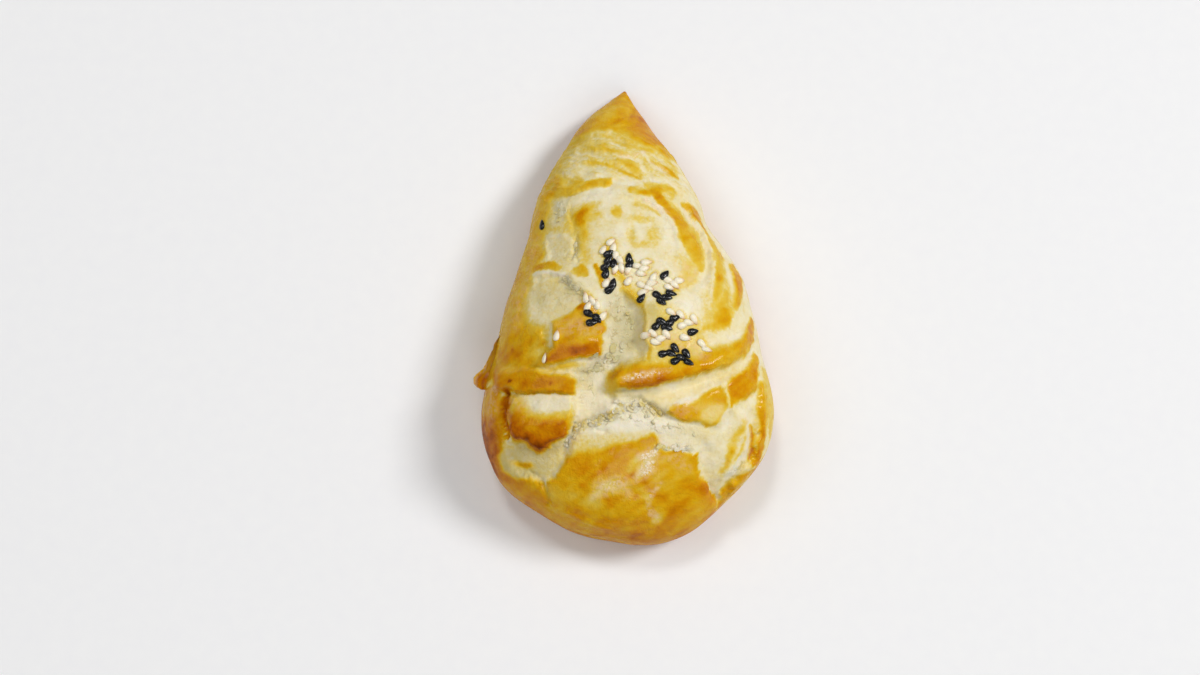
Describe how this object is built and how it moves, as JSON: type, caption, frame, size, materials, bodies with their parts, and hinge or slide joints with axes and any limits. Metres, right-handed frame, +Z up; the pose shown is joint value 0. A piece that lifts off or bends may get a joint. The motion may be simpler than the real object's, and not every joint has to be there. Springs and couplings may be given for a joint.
{
  "type": "salmon samsa",
  "caption": "Baked pointed pasty of wound, layered dough with a glazed golden crust, torn pale layers and dark and pale seeds on top.",
  "frame": {"origin": "centre of the bounding box at the level the pasty rests on", "axes": "+Y towards the pointed end, +Z up, +X to the right seen from above with the point away"},
  "size_m": [0.0812, 0.1322, 0.04],
  "materials": {
    "baked_crust": "egg-glazed crust, satin to glossy, with paler matt layers"
  },
  "bodies": {
    "root": {"samsa": "baked_crust"}
  },
  "joints": []
}
